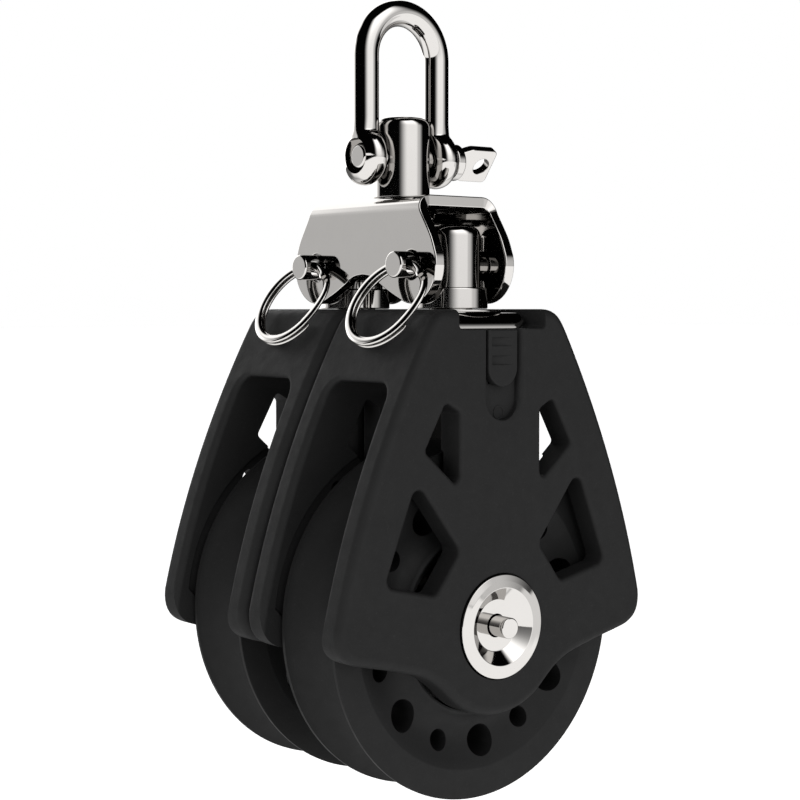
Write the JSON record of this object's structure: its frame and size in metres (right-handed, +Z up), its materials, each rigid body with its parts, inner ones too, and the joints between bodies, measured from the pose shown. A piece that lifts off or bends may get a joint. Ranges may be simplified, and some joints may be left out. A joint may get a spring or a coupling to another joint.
{
  "type": "swivel sheave block",
  "caption": "Twin-sheave ball-bearing rope block with a swivelling pinned bracket and a D shackle at its head.",
  "frame": {"origin": "inner crown of the shackle bow, where the block hangs", "axes": "+Z up along the hanging line, +X across the outline towards the shackle pin's key, +Y along the sheave axles"},
  "size_m": [0.0334, 0.0292, 0.0682],
  "materials": {
    "case_nylon": "black glass-filled nylon, fine moulded grain",
    "slider_nylon": "black nylon, fine moulded grain",
    "sheave_nylon": "black nylon, turned, satin",
    "cage_acetal": "black acetal",
    "ball_acetal": "white acetal balls",
    "stainless": "mirror-polished stainless steel"
  },
  "bodies": {
    "shackle": {"shackle_bow": "stainless"},
    "key_pin": {"shackle_pin": "stainless"},
    "swivel_post": {"head_post": "stainless", "head_nut": "stainless"},
    "bracket": {"head_bracket": "stainless"},
    "front_ring": {"front_split_ring": "stainless"},
    "front_block": {"front_clevis_pin": "stainless", "front_case": "case_nylon", "front_strap": "stainless", "front_post": "stainless", "front_post_washer": "stainless", "front_axle": "stainless", "front_axle_rivet": "stainless", "front_outer_cap": "stainless", "front_inner_cap": "stainless", "front_inner_race": "stainless"},
    "front_slider": {"front_lock_slider": "slider_nylon"},
    "front_wheel": {"front_sheave": "sheave_nylon"},
    "front_balls": {"front_ball_cage": "cage_acetal", "front_ball_01": "ball_acetal", "front_ball_02": "ball_acetal", "front_ball_03": "ball_acetal", "front_ball_04": "ball_acetal", "front_ball_05": "ball_acetal", "front_ball_06": "ball_acetal", "front_ball_07": "ball_acetal", "front_ball_08": "ball_acetal"},
    "rear_ring": {"rear_split_ring": "stainless"},
    "rear_block": {"rear_clevis_pin": "stainless", "rear_case": "case_nylon", "rear_strap": "stainless", "rear_post": "stainless", "rear_post_washer": "stainless", "rear_axle": "stainless", "rear_axle_rivet": "stainless", "rear_outer_cap": "stainless", "rear_inner_cap": "stainless", "rear_inner_race": "stainless"},
    "rear_slider": {"rear_lock_slider": "slider_nylon"},
    "rear_wheel": {"rear_sheave": "sheave_nylon"},
    "rear_balls": {"rear_ball_cage": "cage_acetal", "rear_ball_01": "ball_acetal", "rear_ball_02": "ball_acetal", "rear_ball_03": "ball_acetal", "rear_ball_04": "ball_acetal", "rear_ball_05": "ball_acetal", "rear_ball_06": "ball_acetal", "rear_ball_07": "ball_acetal", "rear_ball_08": "ball_acetal"}
  },
  "joints": [
    {"name": "key_turn", "type": "hinge", "parent": "shackle", "child": "key_pin", "pos_m": [0, 0, -0.0115], "axis": [1, 0, 0], "range_deg": [0, 360]},
    {"name": "shackle_swing", "type": "hinge", "parent": "shackle", "child": "swivel_post", "pos_m": [0, 0, -0.0115], "axis": [1, 0, 0], "range_deg": [-100, 100]},
    {"name": "head_swivel", "type": "hinge", "parent": "swivel_post", "child": "bracket", "pos_m": [0, 0, -0.01508], "axis": [0, 0, 1], "continuous": true},
    {"name": "front_block_swing", "type": "hinge", "parent": "bracket", "child": "front_block", "pos_m": [0, -0.0068, -0.02095], "axis": [1, 0, 0], "range_deg": [-60, 0]},
    {"name": "front_ring_swing", "type": "hinge", "parent": "front_block", "child": "front_ring", "pos_m": [-0.005, -0.0068, -0.02097], "axis": [-0.0523, 0.9986, 0], "range_deg": [0, 80]},
    {"name": "front_lock_slide", "type": "slide", "parent": "front_block", "child": "front_slider", "axis": [0, 0, 1], "range_m": [-0.0025, 0]},
    {"name": "front_sheave_spin", "type": "hinge", "parent": "front_block", "child": "front_wheel", "pos_m": [0, -0.0068, -0.05095], "axis": [0, 1, 0], "continuous": true},
    {"name": "front_ball_roll", "type": "hinge", "parent": "front_block", "child": "front_balls", "pos_m": [0, -0.0068, -0.05095], "axis": [0, 1, 0], "continuous": true},
    {"name": "rear_block_swing", "type": "hinge", "parent": "bracket", "child": "rear_block", "pos_m": [0, 0.0068, -0.02095], "axis": [1, 0, 0], "range_deg": [0, 60]},
    {"name": "rear_ring_swing", "type": "hinge", "parent": "rear_block", "child": "rear_ring", "pos_m": [-0.005, 0.0068, -0.02097], "axis": [-0.0523, 0.9986, 0], "range_deg": [0, 80]},
    {"name": "rear_lock_slide", "type": "slide", "parent": "rear_block", "child": "rear_slider", "axis": [0, 0, 1], "range_m": [-0.0025, 0]},
    {"name": "rear_sheave_spin", "type": "hinge", "parent": "rear_block", "child": "rear_wheel", "pos_m": [0, 0.0068, -0.05095], "axis": [0, 1, 0], "continuous": true},
    {"name": "rear_ball_roll", "type": "hinge", "parent": "rear_block", "child": "rear_balls", "pos_m": [0, 0.0068, -0.05095], "axis": [0, 1, 0], "continuous": true}
  ],
  "couplings": [
    {"joint": "front_ball_roll", "follows": "front_sheave_spin", "ratio": 0.5875},
    {"joint": "rear_ball_roll", "follows": "rear_sheave_spin", "ratio": 0.5875}
  ]
}
